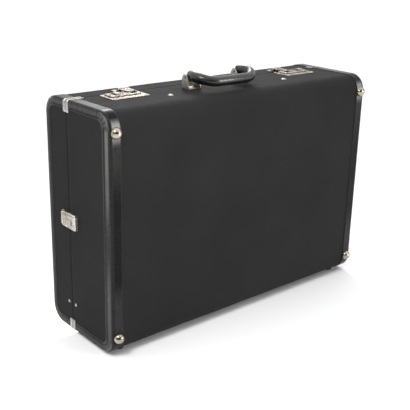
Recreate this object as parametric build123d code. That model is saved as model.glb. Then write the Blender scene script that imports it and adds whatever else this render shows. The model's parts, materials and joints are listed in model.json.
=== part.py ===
from build123d import *
import os
from math import sqrt, radians, sin, cos, pi

# Hard case standing on its bottom, handle on top, large front face towards -Y.
# Millimetres. Origin: middle of the bounding box's base, +Z up, +X along the length.

# ---------------------------------------------------------------- dimensions
X_BIND = 290.0          # half length over the leather bindings
X_COV = 289.0           # half length over the cloth on the end panels
Y_FRONT = -88.0         # cloth on the front face
Y_BACK = 94.0           # cloth on the back face
Z_BOT = 5.0             # cloth on the bottom, the feet stand on z = 0
Z_TOP = 401.0           # cloth on the top
R_WRAP = 28.0           # radius of the four long edges
R_END = 3.0             # softened edge between wrap and end panel
T_CLOTH = 0.8
T_BOARD = 4.5
T_LINING = 0.7
T_BIND = 1.0
BIND_W = 21.0           # binding width on the wrap
Y_PART = 32.0           # parting plane
GAP = 0.25              # half of the parting gap
AX_Z = 2.7              # lid hinge axis height (axis along X at Y_PART)
KN_R = 2.2              # hinge knuckle radius
LID_STAY_DY = 10.3      # stay rivets, from the parting plane
LID_STAY_DZ = 51.0      # stay rivets, above the hinge axis
HANDLE_X = -12.0        # handle centre
HANDLE_HALF = 55.3      # handle centre to clevis centre
PIN_Y, PIN_Z = -2.0, 422.3   # handle pin axis
LATCH_X0, LATCH_X1 = 159.5, 231.0
TRAVEL = 14.5           # latch bolt travel

OFF_BOARD0 = T_CLOTH
OFF_BOARD1 = T_CLOTH + T_BOARD
OFF_LIN1 = OFF_BOARD1 + T_LINING
YC = (Y_FRONT + Y_BACK) / 2
ZC = (Z_BOT + Z_TOP) / 2
DEPTH = Y_BACK - Y_FRONT
HEIGHT = Z_TOP - Z_BOT

os.makedirs("parts", exist_ok=True)
PARTS = {}


# ---------------------------------------------------------------- helpers
def bx(x0, x1, y0, y1, z0, z1):
    return Pos((x0 + x1) / 2, (y0 + y1) / 2, (z0 + z1) / 2) * Box(abs(x1 - x0), abs(y1 - y0), abs(z1 - z0))


def cyx(x0, x1, y, z, r):
    return Pos((x0 + x1) / 2, y, z) * Rot(0, 90, 0) * Cylinder(r, abs(x1 - x0))


def cyy(y0, y1, x, z, r):
    return Pos(x, (y0 + y1) / 2, z) * Rot(90, 0, 0) * Cylinder(r, abs(y1 - y0))


def cyz(z0, z1, x, y, r):
    return Pos(x, y, (z0 + z1) / 2) * Cylinder(r, abs(z1 - z0))


def mirx(s):
    return mirror(s, about=Plane.YZ)


def solids_of(s):
    return [v for v in s.solids()]


def put(name, *shapes):
    out = []
    for s in shapes:
        out += solids_of(s)
    PARTS[name] = out


def blank(o, xh, re):
    """Outer form of the case, inset by o, half length xh, end edges rounded by re."""
    sk = Plane.YZ * Pos(YC, ZC) * RectangleRounded(DEPTH - 2 * o, HEIGHT - 2 * o, R_WRAP - o)
    p = extrude(sk, amount=xh, both=True)
    if re > 0:
        f = p.faces().sort_by(Axis.X)
        p = fillet(f[0].edges() + f[-1].edges(), re)
    return p


def frame_dir(d):
    """Placement whose local +Z is d, a signed row axis."""
    return {"+x": Rot(0, 90, 0), "-x": Rot(0, -90, 0), "+y": Rot(-90, 0, 0), "-y": Rot(90, 0, 0),
            "+z": Rot(0, 0, 0), "-z": Rot(180, 0, 0)}[d]


def dome(r, h):
    """Spherical cap of base radius r and height h, base on local z = 0."""
    rho = (r * r + h * h) / (2 * h)
    s = Pos(0, 0, h - rho) * Sphere(rho)
    return s & (Pos(0, 0, h / 2 + 0.0005) * Box(4 * r, 4 * r, h + 0.001))


def rivet(p, d, hr, hh, sr, depth, cr=0.0, ch=0.0):
    """Dome head on the outer surface at p, pointing along d, shank inwards, optional clinch."""
    s = dome(hr, hh) + Pos(0, 0, -depth / 2) * Cylinder(sr, depth)
    if cr:
        s = s + Pos(0, 0, -depth - ch / 2) * Cylinder(cr, ch)
    return Pos(*p) * frame_dir(d) * s


DRILLS = {"base": [], "lid": []}


def drill(side, p, d, sr, depth):
    DRILLS[side].append(Pos(*p) * frame_dir(d) * Pos(0, 0, -depth / 2) * Cylinder(sr + 0.04, depth + 2.0))


WALL = OFF_LIN1           # cloth to lining, 6.0

# ---------------------------------------------------------------- fasteners
# studs on the front face, where the case lies when it is open
nails = []
for sx in (-1, 1):
    for z in (35.6, 371.4):
        p = (sx * 278.2, Y_FRONT - T_BIND, z)
        nails.append(rivet(p, "-y", 9.1, 8.9, 1.6, 5.0))
        drill("base", p, "-y", 1.6, 5.0)
# low glides under the bottom
def foot(x, y):
    f = Pos(x, y, Z_BOT / 2) * Cylinder(8.0, Z_BOT)
    f = fillet(f.edges().group_by(Axis.Z)[0], 1.4)
    return f + cyz(Z_BOT, Z_BOT + 4.0, x, y, 1.5)

base_feet, lid_feet = [], []
for sx in (-1, 1):
    base_feet.append(foot(sx * 260.0, -60.0))
    lid_feet.append(foot(sx * 260.0, 56.0))
    DRILLS["base"].append(cyz(Z_BOT - 1, Z_BOT + 4.05, sx * 260.0, -60.0, 1.54))
    DRILLS["lid"].append(cyz(Z_BOT - 1, Z_BOT + 4.05, sx * 260.0, 56.0, 1.54))

# ---------------------------------------------------------------- handle fittings
BACK_Z0, BACK_Z1 = Z_TOP - WALL - 1.8, Z_TOP - WALL
backing = bx(-145, 145, -40, 11, BACK_Z0, BACK_Z1)
backing = fillet(backing.edges().filter_by(Axis.Z), 6.0)

top_rivets = []
for sx in (-1, 1):
    p = (sx * 131.0, -29.0, Z_TOP)
    depth = WALL + 1.8
    top_rivets.append(rivet(p, "+z", 4.9, 1.8, 2.0, depth, 3.6, 1.2))
    drill("base", p, "+z", 2.0, depth)
    backing -= cyz(BACK_Z0 - 1, BACK_Z1 + 1, p[0], p[1], 2.04)


def clevis(cx):
    plate = bx(cx - 14, cx + 14, PIN_Y - 11.5, PIN_Y + 7.5, Z_TOP, Z_TOP + 1.5)
    plate = fillet(plate.edges().filter_by(Axis.Z), 2.0)
    c = plate
    for s in (-1, 1):
        x0 = cx + s * 12.5 - 1.0
        prof = Polyline((PIN_Y - 10.5, Z_TOP + 0.5), (PIN_Y + 7.0, Z_TOP + 0.5), (PIN_Y + 6.6, PIN_Z - 4.0),
                        (PIN_Y + 3.8, PIN_Z + 1.7), (PIN_Y - 4.2, PIN_Z + 1.7), (PIN_Y - 9.4, PIN_Z - 5.0), close=True)
        c += Pos(x0, 0, 0) * extrude(Plane.YZ * make_face(prof), amount=2.0)
        c += cyx(x0, x0 + 2.0, PIN_Y, PIN_Z, 3.8)
    return c - cyx(cx - 20, cx + 20, PIN_Y, PIN_Z, 2.0)


clevises, handle_pins, clevis_rivets = [], [], []
for sx in (-1, 1):
    cx = HANDLE_X + sx * HANDLE_HALF
    c = clevis(cx)
    for dx in (-6.0, 6.0):
        p = (cx + dx, PIN_Y - 0.5, Z_TOP + 1.5)
        depth = WALL + 1.8 + 1.5
        clevis_rivets.append(rivet(p, "+z", 2.6, 1.3, 1.6, depth, 2.9, 1.0))
        drill("base", p, "+z", 1.6, depth)
        c -= cyz(Z_TOP - 1, Z_TOP + 3, p[0], p[1], 1.64)
        backing -= cyz(BACK_Z0 - 1, BACK_Z1 + 1, p[0], p[1], 1.64)
    clevises.append(c)
    pin = cyx(cx - 14.2, cx + 14.2, PIN_Y, PIN_Z, 1.99)
    for s in (-1, 1):
        xa, xb = sorted((cx + s * 13.52, cx + s * 14.9))
        pin += cyx(xa, xb, PIN_Y, PIN_Z, 2.9)
    xa, xb = sorted((cx + sx * 8.8, cx + sx * 11.3))
    pin += cyx(xa, xb, PIN_Y, PIN_Z, 3.2)                                                   # collar beside the grip
    handle_pins.append(pin)

# ---------------------------------------------------------------- handle
hx, hh = HANDLE_X, HANDLE_HALF


def handle_path(x_end, y_end, z_end):
    """Centre line of the bow, from one eye over the front bar to the other."""
    return FilletPolyline((hx - x_end, y_end, z_end), (hx - 61.5, -25, 422.6), (hx - 43, -45.5, 417.2),
                          (hx + 43, -45.5, 417.2), (hx + 61.5, -25, 422.6), (hx + x_end, y_end, z_end),
                          radius=[20, 26, 26, 20])


def tube(path, r):
    pl = Plane(origin=path @ 0, z_dir=path % 0)
    return sweep(pl * Circle(r), path=path)


grip_path = handle_path(53.0, 1.5, 420.9)
core_path = handle_path(54.0, PIN_Y - 0.5, 421.7)
core = tube(core_path, 2.4)
grip = tube(grip_path, 8.6)
for sx in (-1, 1):
    cx = hx + sx * (hh - 1.3)
    core += cyx(cx - 6.0, cx + 6.0, PIN_Y, PIN_Z, 4.0)
    grip -= cyx(cx - 6.3, cx + 6.3, PIN_Y, PIN_Z, 4.3)
    grip -= cyx(cx - 14.0, cx + 14.0, PIN_Y, PIN_Z, 2.3)
for sx in (-1, 1):
    cx = hx + sx * (hh - 1.3)
    core -= cyx(cx - 14.0, cx + 14.0, PIN_Y, PIN_Z, 2.05)
grip -= tube(core_path, 2.46)

# ---------------------------------------------------------------- top latches (right one, mirrored for the left)
lp = bx(LATCH_X0, LATCH_X1, -13, 27.5, Z_TOP, Z_TOP + 1.4)
lp = fillet(lp.edges().filter_by(Axis.Z), 3.0)
lp = chamfer(lp.faces().sort_by(Axis.Z)[-1].edges(), 0.6)
HZ0, HZ1 = Z_TOP + 1.4, Z_TOP + 3.9
BOLT_Y0, BOLT_Y1 = 16.0, 19.2
BOLT_Z0, BOLT_Z1 = HZ0 + 0.75, HZ0 + 1.75
hs = bx(167, 225, 0.8, 22.5, HZ0, HZ1)
hs = fillet(hs.edges().filter_by(Axis.Z), 2.5)
hs = fillet(hs.faces().sort_by(Axis.Z)[-1].edges(), 1.2)
hs -= bx(171, 185, 3.4, 30, HZ0 - 1, HZ1 + 1)                                            # well for the staple, open to the rear
hs -= bx(184.5, 219, BOLT_Y0 - 0.2, BOLT_Y1 + 0.2, BOLT_Z0 - 0.1, BOLT_Z1 + 0.2)         # channel of the bolt
hs -= bx(168.6, 171.5, BOLT_Y0 - 0.2, BOLT_Y1 + 0.2, BOLT_Z0 - 0.1, BOLT_Z1 + 0.2)       # far socket of the bolt
hs -= bx(193.2, 218.6, BOLT_Y0 + 0.1, BOLT_Y1 - 0.1, HZ0 + 1, HZ1 + 1)                   # slot of the knob's neck
for x, y, r in ((190.2, 6.0, 1.8), (190.2, 12.2, 1.3), (200.6, 5.2, 1.8), (220.8, 9.0, 1.7)):
    hs -= cyz(HZ0 - 0.5, HZ1 + 1, x, y, r)
hs -= bx(194.5, 203.5, 9.4, 12.6, HZ0 - 0.5, HZ1 + 1)
bolt = bx(184.9, 216, BOLT_Y0, BOLT_Y1, BOLT_Z0, BOLT_Z1)
bolt += bx(208.7, 212.3, BOLT_Y0 + 0.3, BOLT_Y1 - 0.3, BOLT_Z0 + 0.6, HZ1 + 0.8)
bolt += bx(208.4, 212.6, 10.0, BOLT_Y1 - 0.2, HZ1 + 0.3, HZ1 + 1.5)
knob = bx(205.6, 215.4, 3.4, 12.6, HZ1 + 0.3, HZ1 + 2.9)
knob = fillet(knob.edges().filter_by(Axis.Z), 2.2)
knob = fillet(knob.faces().sort_by(Axis.Z)[-1].edges(), 1.0)
bolt += knob
# hasp on the lid
KY, KZ, KR = 37.5, Z_TOP + 4.2, 3.2
hp_plate = bx(164, 193, 33.2, 52, Z_TOP, Z_TOP + 1.2)
hp_plate = fillet(hp_plate.edges().filter_by(Axis.Z).sort_by(Axis.Y)[-2:], 5.0)
for a, b in ((167, 171.5), (184.5, 189)):
    hp_plate += cyx(a, b, KY, KZ, KR) + bx(a, b, KY - 0.5, KY + 3.1, Z_TOP + 0.6, KZ)
hp_plate -= cyx(171.5, 184.5, KY, KZ, KR + 0.25)
hp_plate -= cyx(140, 200, KY, KZ, 1.21)
hasp = cyx(171.7, 184.3, KY, KZ, KR)
ht0, ht1 = HZ1 + 0.3, HZ1 + 1.7
tongue = bx(169.5, 187.5, 12.6, KY, ht0, ht1)
tongue = fillet(tongue.edges().filter_by(Axis.Z).sort_by(Axis.Y)[:2], 5.0)
tongue -= bx(184.3, 190, KY - KR - 0.4, KY + 5, ht0 - 1, ht1 + 1)
tongue -= bx(160, 171.7, KY - KR - 0.4, KY + 5, ht0 - 1, ht1 + 1)
hasp += tongue
hasp += Pos(178, 26, ht1) * Box(11, 5, 0.8)
hasp += bx(175.0, 182.0, 14.4, 20.8, Z_TOP + 1.55, ht0 + 0.4)
hasp -= bx(170, 190, BOLT_Y0 - 0.2, BOLT_Y1 + 0.2, BOLT_Z0 - 0.12, BOLT_Z1 + 0.2)
hasp -= cyx(150, 200, KY, KZ, 1.26)
hasp_pin = cyx(167.1, 188.9, KY, KZ, 1.2)

# ---------------------------------------------------------------- side clasps (left end, mirrored for the right)
XS = -X_COV
CZ0, CZ1 = 190.8, 217.6          # lock case
SZ0, SZ1 = 191.0, 216.8          # hasp and its plate
case = bx(XS - 4.9, XS, 7.8, 30.5, CZ0, CZ1)
case = fillet(case.edges().filter_by(Axis.X).sort_by(Axis.Y)[:2], 3.0)
case = fillet(case.faces().sort_by(Axis.X)[0].edges(), 1.0)
PY, PZ = 20.2, 201.0
plug = cyx(XS - 3.4, XS - 1.2, PY, PZ, 4.6)
plug += bx(XS - 3.4, XS - 2.4, PY - 7.6, PY, PZ - 1.0, PZ + 1.0)                        # finger
plug -= bx(XS - 6, XS - 1.6, PY - 1.25, PY + 1.25, PZ - 3.8, PZ + 2.6)
plug -= cyx(XS - 6, XS - 1.6, PY, PZ + 2.2, 1.95)
case -= cyx(XS - 3.55, XS - 1.0, PY, PZ, 4.65)
case -= bx(XS - 3.55, XS - 2.2, PY - 8.0, PY + 1.4, PZ - 1.4, PZ + 8.2)                 # room for the finger's quarter turn
case -= bx(XS - 6, XS - 3.0, PY - 1.5, PY + 1.5, PZ - 4.2, PZ + 3.0)                    # keyhole
case -= cyx(XS - 6, XS - 3.0, PY, PZ + 2.2, 2.1)
case -= bx(XS - 6, XS - 1.3, 13.0, 40, 206.6, 214.4)                                    # notch for the tongue
for k in range(4):
    case += bx(XS - 5.4, XS - 4.5, 26.6, 28.8, 192.6 + 3.3 * k, 194.2 + 3.3 * k)
# hasp and its plate on the lid
SY, SX = 51.0, XS - 2.6
s_plate = bx(XS - 1.2, XS, 33.0, 53.0, SZ0, SZ1)
s_plate = fillet(s_plate.edges().filter_by(Axis.X).sort_by(Axis.Y)[-2:], 3.0)
for a, b in ((SZ0 + 2.2, 196), (210.4, SZ1 - 2.2)):
    s_plate += cyz(a, b, SX, SY, 1.9) + bx(SX, XS - 0.5, SY - 1.2, SY + 1.9, a, b)
s_plate -= cyz(196, 210.4, SX, SY, 2.15)
s_plate -= cyz(180, 230, SX, SY, 0.91)
s_hasp = cyz(196.2, 210.2, SX, SY, 1.9)
sh = bx(XS - 4.5, XS - 2.7, 31.4, SY - 2.3, SZ0 + 0.2, SZ1 - 0.2)
sh = fillet(sh.edges().filter_by(Axis.X).sort_by(Axis.Y)[-2:], 2.2)
sh += bx(XS - 4.5, XS - 2.7, SY - 3.0, SY, 196.2, 210.2)
for k in range(4):
    sh += bx(XS - 5.2, XS - 4.3, 33.8 + 3.7 * k, 35.6 + 3.7 * k, 208.6, 213.4)          # raised bars
sh += bx(XS - 5.0, XS - 4.3, 33.4, 47.0, 205.4, 206.4)
for ya, yb in ((33.8, 36.4), (38.2, 41.4), (43.2, 46.4)):
    sh += bx(XS - 5.1, XS - 4.3, ya, yb, 194.2, 203.4)
s_hasp += sh
s_hasp += bx(XS - 4.5, XS - 1.6, 14.0, 33.0, 207.2, 213.0)
s_hasp -= bx(XS - 3.6, XS - 2.2, 15.3, 22.8, 200, 209.6)
s_hasp -= cyz(180, 230, SX, SY, 0.96)
s_pin = cyz(SZ0 + 2.3, SZ1 - 2.3, SX, SY, 0.9)

# ---------------------------------------------------------------- small rivets of the hardware
base_rivets, lid_rivets = [], []


def hw(side, p, d, outer_t, holes, hr=1.9, hh=0.9, sr=1.1):
    """Small tubular rivet through outer_t of metal and the wall."""
    depth = outer_t + WALL
    (base_rivets if side == "base" else lid_rivets).append(rivet(p, d, hr, hh, sr, depth, 2.0, 0.6))
    drill(side, p, d, sr, depth)


L_RIV = [(163.0, -9.6), (227.4, -9.4), (228.6, 12.0), (162.4, 13.8)]
H_RIV = [(168.6, 47.6), (188.6, 47.6)]
for sx in (-1, 1):
    for x, y in L_RIV:
        hw("base", (sx * x, y, Z_TOP + 1.4), "+z", 1.4, None)
    for x, y in H_RIV:
        hw("lid", (sx * x, y, Z_TOP + 1.2), "+z", 1.2, None)
for x, y in L_RIV:
    lp -= cyz(Z_TOP - 1, Z_TOP + 3, x, y, 1.14)
for x, y in H_RIV:
    hp_plate -= cyz(Z_TOP - 1, Z_TOP + 3, x, y, 1.14)

# ---------------------------------------------------------------- bottom hinges
KN = [(155, 164.8), (165.2, 174.8), (175.2, 184.8), (185.2, 194.8), (195.2, 205)]


def leaf(side):
    s = -1 if side == "base" else 1
    own = KN[0::2] if side == "base" else KN[1::2]
    ya, yb = (8.0, Y_PART - 2.6) if side == "base" else (Y_PART + 2.6, 56.0)
    pl = bx(155, 205, ya, yb, Z_BOT - 1.2, Z_BOT)
    outer = pl.edges().filter_by(Axis.Z).sort_by(Axis.Y)
    pl = fillet(outer[:2] if side == "base" else outer[-2:], 4.0)
    for a, b in own:
        pl += cyx(a, b, Y_PART, AX_Z, KN_R)
        y0, y1 = sorted((Y_PART, Y_PART + s * 2.8))
        pl += bx(a, b, y0, y1, Z_BOT - 1.2, Z_BOT - 0.1)
    pl -= cyx(150, 210, Y_PART, AX_Z, 1.11 if side == "base" else 1.15)
    for x in (162, 180, 198):
        y = 13.0 if side == "base" else 49.5
        pl -= cyz(Z_BOT - 3, Z_BOT + 1, x, y, 1.14)
    return pl


base_leaf, lid_leaf = leaf("base"), leaf("lid")
hinge_pin = cyx(154.4, 205.6, Y_PART, AX_Z, 1.1)
for sx in (-1, 1):
    for x in (162, 180, 198):
        hw("base", (sx * x, 13.0, Z_BOT - 1.2), "-z", 1.2, None, hh=0.8)
        hw("lid", (sx * x, 49.5, Z_BOT - 1.2), "-z", 1.2, None, hh=0.8)

# ---------------------------------------------------------------- lid stays
# Both links are as long as the rivets are from the hinge axis, so hinge, rivets
# and elbow make a rhombus at every lid angle.
STAY_L = sqrt(LID_STAY_DY ** 2 + LID_STAY_DZ ** 2)
BY, CYY, SZ = Y_PART - LID_STAY_DY, Y_PART + LID_STAY_DY, AX_Z + LID_STAY_DZ
EZ = AX_Z + 2 * LID_STAY_DZ
LIP_T = 2.4
XL = X_COV - WALL - LIP_T          # inner face of the lip on the end walls, 280.6


def link(x0, x1, a, b, w=4.0, ra=0, rb=0):
    """Flat bar with round ends between two points of the YZ plane."""
    (ya, za), (yb, zb) = a, b
    L = sqrt((yb - ya) ** 2 + (zb - za) ** 2)
    import math
    ang = math.degrees(math.atan2(zb - za, yb - ya))
    sk = Plane.YZ * Pos((ya + yb) / 2, (za + zb) / 2) * Rot(0, 0, ang) * SlotCenterToCenter(L, 2 * w)
    s = Pos(x0, 0, 0) * extrude(sk, amount=x1 - x0)
    if ra:
        s -= cyx(x0 - 1, x1 + 1, ya, za, ra)
    if rb:
        s -= cyx(x0 - 1, x1 + 1, yb, zb, rb)
    return s


# right end, mirrored for the left
base_link = link(XL - 2.0, XL - 0.5, (BY, SZ), (Y_PART, EZ), ra=1.81, rb=1.51)
lid_link = link(XL - 4.0, XL - 2.5, (CYY, SZ), (Y_PART, EZ), ra=1.81, rb=1.75)
elbow = cyx(XL - 4.6, XL - 0.4, Y_PART, EZ, 1.5) + cyx(XL - 5.5, XL - 4.6, Y_PART, EZ, 2.8) + \
    cyx(XL - 0.45, XL - 0.15, Y_PART, EZ, 2.6)
stay_base_rivet = Pos(X_COV, BY, SZ) * frame_dir("+x") * dome(2.7, 1.4)
stay_base_rivet += cyx(XL - 2.2, X_COV, BY, SZ, 1.75) + cyx(XL - 2.45, XL - 2.1, BY, SZ, 2.8)
stay_base_rivet += cyx(XL - 0.45, XL, BY, SZ, 3.2)
stay_lid_rivet = Pos(X_COV, CYY, SZ) * frame_dir("+x") * dome(2.7, 1.4)
stay_lid_rivet += cyx(XL - 4.3, X_COV, CYY, SZ, 1.75) + cyx(XL - 5.1, XL - 4.1, CYY, SZ, 2.8)
stay_lid_rivet += cyx(XL - 2.45, X_COV - WALL, CYY, SZ, 3.0)
for sx in (-1, 1):
    DRILLS["base"].append(cyx(sx * (XL - 1), sx * (X_COV + 2), BY, SZ, 1.79))
    DRILLS["lid"].append(cyx(sx * (XL - 1), sx * (X_COV + 2), CYY, SZ, 1.79))

# ---------------------------------------------------------------- shells
B_cov, B_brd0 = blank(0, X_COV, R_END), blank(OFF_BOARD0, X_COV - OFF_BOARD0, R_END - OFF_BOARD0)
B_brd1, B_lin1 = blank(OFF_BOARD1, X_COV - OFF_BOARD1, 0), blank(OFF_LIN1, X_COV - OFF_LIN1, 0)
B_bind = blank(-T_BIND, X_BIND, R_END + T_BIND)
HALF = {"base": bx(-400, 400, -200, Y_PART - GAP, -50, 500), "lid": bx(-400, 400, Y_PART + GAP, 200, -50, 500)}
XE = X_COV - OFF_BOARD1

cloth = B_cov - B_brd0
boards = B_brd0 - B_brd1
lining = B_brd1 - B_lin1
binding = (B_bind - B_cov)
# leave the cloth of the end panels bare inside the binding
Y_BF, Y_BB, Z_BT = 19.0, 11.5, 14.0
open_sk = Plane.YZ * Pos((Y_FRONT + Y_BF + Y_BACK - Y_BB) / 2, ZC) * RectangleRounded(
    DEPTH - Y_BF - Y_BB, HEIGHT - 2 * Z_BT, 13.0)
binding -= extrude(open_sk, amount=400, both=True)
binding -= bx(-(X_BIND - BIND_W), X_BIND - BIND_W, -200, 200, -50, 500)


def drilled(s, side):
    for d in DRILLS[side]:
        s -= d
    return s


# nails go through the front binding
for side in ("base", "lid"):
    h = HALF[side]
    cl = drilled(cloth & h, side)
    put(side + "_cover", cl)
    bo = drilled(boards & h, side)
    wrap = bo & bx(-XE, XE, -200, 200, -50, 500)
    yk = Y_FRONT + R_WRAP if side == "base" else Y_BACK - R_WRAP
    sg = -1 if side == "base" else 1
    zk0, zk1 = Z_BOT + R_WRAP, Z_TOP - R_WRAP
    strips = []
    for y0, y1, z0, z1 in ((yk, yk + sg * 60, zk0, zk1), (yk, yk - sg * 200, zk1, zk1 + 60), (yk, yk - sg * 200, zk0 - 60, zk0)):
        strips.append(wrap & bx(-XE, XE, min(y0, y1), max(y0, y1), z0, z1))
    for zk, up in ((zk1, 1), (zk0, -1)):
        for k in range(3):
            a0, a1 = radians(30 * k), radians(30 * (k + 1))
            tri = make_face(Polyline((yk, zk), (yk + sg * 60 * cos(a0), zk + up * 60 * sin(a0)),
                                     (yk + sg * 60 * cos(a1), zk + up * 60 * sin(a1)), close=True))
            strips.append(wrap & extrude(Plane.YZ * tri, amount=XE, both=True))
    put(side + "_wrap_board", *strips)
    put(side + "_end_board_left", bo & bx(-400, -XE, -200, 200, -50, 500))
    put(side + "_end_board_right", bo & bx(XE, 400, -200, 200, -50, 500))
    put(side + "_lining", drilled(lining & h, side))
    bi = drilled(binding & h, side)
    put(side + "_binding_left", bi & bx(-400, 0, -200, 200, -50, 500))
    put(side + "_binding_right", bi & bx(0, 400, -200, 200, -50, 500))

# lip round the base opening, standing into the lid
LIP_Y0, LIP_Y1 = 16.5, 38.0
lip = blank(OFF_LIN1, X_COV - OFF_LIN1, 0) - blank(OFF_LIN1 + LIP_T, X_COV - OFF_LIN1 - LIP_T, 0)
lip &= bx(-400, 400, LIP_Y0, LIP_Y1, -50, 500)
trim = blank(OFF_LIN1 - 5, X_COV, 0) - blank(OFF_LIN1 + 0.45, X_COV - OFF_LIN1 - 0.45, 0)
lip -= trim & bx(-400, 400, Y_PART - 0.6, 200, -50, 500)
lip = drilled(lip, "base")
put("base_lip", lip)

# metal clips over the binding ends, a pair at each corner of the parting line
clip_ring = blank(-T_BIND - 0.8, X_BIND + 0.8, R_END + T_BIND + 0.8) - blank(-T_BIND - 0.01, X_BIND + 0.01, R_END + T_BIND + 0.01)


def clips(y0, y1):
    out = []
    for sx in (-1, 1):
        for top in (True, False):
            zr = (Z_TOP - 20.5, 500) if top else (-50, Z_BOT + 20.5)
            xr = sorted((sx * 259.0, sx * 400.0))
            c = clip_ring & bx(xr[0], xr[1], y0, y1, *zr)
            zz = (Z_TOP, Z_TOP + T_BIND + 0.8) if top else (Z_BOT - T_BIND - 0.8, Z_BOT)
            xt = sorted((sx * 259.0, sx * (X_BIND - BIND_W - 0.02)))
            c += bx(xt[0], xt[1], y0, y1, *zz)
            out.append(c)
    return out


put("base_edge_clips", *clips(24.2, Y_PART - GAP))
put("lid_edge_clips", *clips(Y_PART + GAP, 39.8))

# ---------------------------------------------------------------- collect
put("front_nails", *nails)
put("base_feet", *base_feet)
put("lid_feet", *lid_feet)
put("handle_backing_plate", backing)
put("handle_clevises", *clevises)
put("handle_pins", *handle_pins)
put("handle_clevis_rivets", *clevis_rivets)
put("top_rivets", *top_rivets)
put("handle_core", core)
put("handle_grip", grip)
for tag, f in (("right", lambda s: s), ("left", mirx)):
    put(f"latch_{tag}_plate", f(lp))
    put(f"latch_{tag}_housing", f(hs))
    put(f"latch_{tag}_bolt", f(bolt))
    put(f"latch_{tag}_hasp_plate", f(hp_plate))
    put(f"latch_{tag}_hasp", f(hasp))
    put(f"stay_{tag}_base_link", f(base_link))
    put(f"stay_{tag}_lid_link", f(lid_link))
    put(f"stay_{tag}_elbow_rivet", f(elbow))
for tag, f in (("left", lambda s: s), ("right", mirx)):
    put(f"side_lock_{tag}_case", f(case))
    put(f"side_lock_{tag}_plug", f(plug))
    put(f"side_hasp_{tag}_plate", f(s_plate))
    put(f"side_hasp_{tag}", f(s_hasp))
put("hasp_pins", hasp_pin, mirx(hasp_pin), s_pin, mirx(s_pin))
put("hinge_base_leaves", base_leaf, mirx(base_leaf))
put("hinge_lid_leaves", lid_leaf, mirx(lid_leaf))
put("hinge_pins", hinge_pin, mirx(hinge_pin))
put("stay_base_rivets", stay_base_rivet, mirx(stay_base_rivet))
put("stay_lid_rivets", stay_lid_rivet, mirx(stay_lid_rivet))
put("base_hardware_rivets", *base_rivets)
put("lid_hardware_rivets", *lid_rivets)

for name, sol in PARTS.items():
    shape = sol[0] if len(sol) == 1 else Compound(children=sol)
    export_step(shape, f"parts/{name}.step")
print(len(PARTS), "nodes", sum(len(s) for s in PARTS.values()), "solids")
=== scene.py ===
import bpy
import json
from math import sin, cos, tan, pi, radians, sqrt
from mathutils import Vector, Matrix, noise


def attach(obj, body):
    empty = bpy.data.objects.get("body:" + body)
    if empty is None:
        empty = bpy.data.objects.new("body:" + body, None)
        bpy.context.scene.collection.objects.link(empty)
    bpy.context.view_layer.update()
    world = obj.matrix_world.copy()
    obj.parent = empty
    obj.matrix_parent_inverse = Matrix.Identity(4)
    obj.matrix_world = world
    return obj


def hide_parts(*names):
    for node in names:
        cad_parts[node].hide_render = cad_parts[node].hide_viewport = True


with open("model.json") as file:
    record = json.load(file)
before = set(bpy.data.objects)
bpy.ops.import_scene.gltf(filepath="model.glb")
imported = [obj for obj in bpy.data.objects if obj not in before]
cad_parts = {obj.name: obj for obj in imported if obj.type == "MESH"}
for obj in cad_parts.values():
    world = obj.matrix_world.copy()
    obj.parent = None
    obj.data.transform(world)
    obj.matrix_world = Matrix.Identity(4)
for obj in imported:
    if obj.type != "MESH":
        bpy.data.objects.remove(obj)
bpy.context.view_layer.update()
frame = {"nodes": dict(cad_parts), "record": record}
NODES = frame["nodes"]
MM = 0.001

# ------------------------------------------------------------------ camera
AZ, EL, ROLL = radians(-40.855), radians(19.022), radians(1.402)
back = Vector((sin(AZ) * cos(EL), -cos(AZ) * cos(EL), sin(EL)))
right = (-back).cross(Vector((0, 0, 1))).normalized()
up = right.cross(-back)
r2 = right * cos(ROLL) + up * sin(ROLL)
u2 = -right * sin(ROLL) + up * cos(ROLL)
cam_data = bpy.data.cameras.new("camera")
cam = bpy.data.objects.new("camera", cam_data)
bpy.context.scene.collection.objects.link(cam)
cam.matrix_world = Matrix(((r2.x, u2.x, back.x, -0.89692), (r2.y, u2.y, back.y, -1.00022),
                           (r2.z, u2.z, back.z, 0.65164), (0, 0, 0, 1)))
cam_data.sensor_width = 36.0
cam_data.lens = 68.06
cam_data.shift_x = 0.00525
cam_data.shift_y = -0.01538
cam_data.clip_start, cam_data.clip_end = 0.02, 50.0
bpy.context.scene.camera = cam

# ------------------------------------------------------------------ light and floor
sc = bpy.context.scene
sc.view_settings.view_transform = "Standard"
sc.view_settings.look = "None"
world = bpy.data.worlds.new("studio")
world.use_nodes = True
wt = world.node_tree
wb = wt.nodes["Background"]
wb.inputs[1].default_value = 1.0
# even white surround with a dim region on the camera's side of the room
w_tc = wt.nodes.new("ShaderNodeTexCoord")
w_dot = wt.nodes.new("ShaderNodeVectorMath")
w_dot.operation = "DOT_PRODUCT"
w_dot.inputs[1].default_value = (sin(radians(-38)) * cos(radians(14)), -cos(radians(-38)) * cos(radians(14)), sin(radians(14)))
wt.links.new(w_tc.outputs["Generated"], w_dot.inputs[0])
w_rng = wt.nodes.new("ShaderNodeMapRange")
w_rng.interpolation_type = "SMOOTHSTEP"
for i, v in enumerate((0.28, 0.86, 0.95, 0.05)):
    w_rng.inputs[i + 1].default_value = v
wt.links.new(w_dot.outputs["Value"], w_rng.inputs[0])
w_col = wt.nodes.new("ShaderNodeCombineColor")
for i in range(3):
    wt.links.new(w_rng.outputs[0], w_col.inputs[i])
wt.links.new(w_col.outputs[0], wb.inputs[0])
sc.world = world


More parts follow.
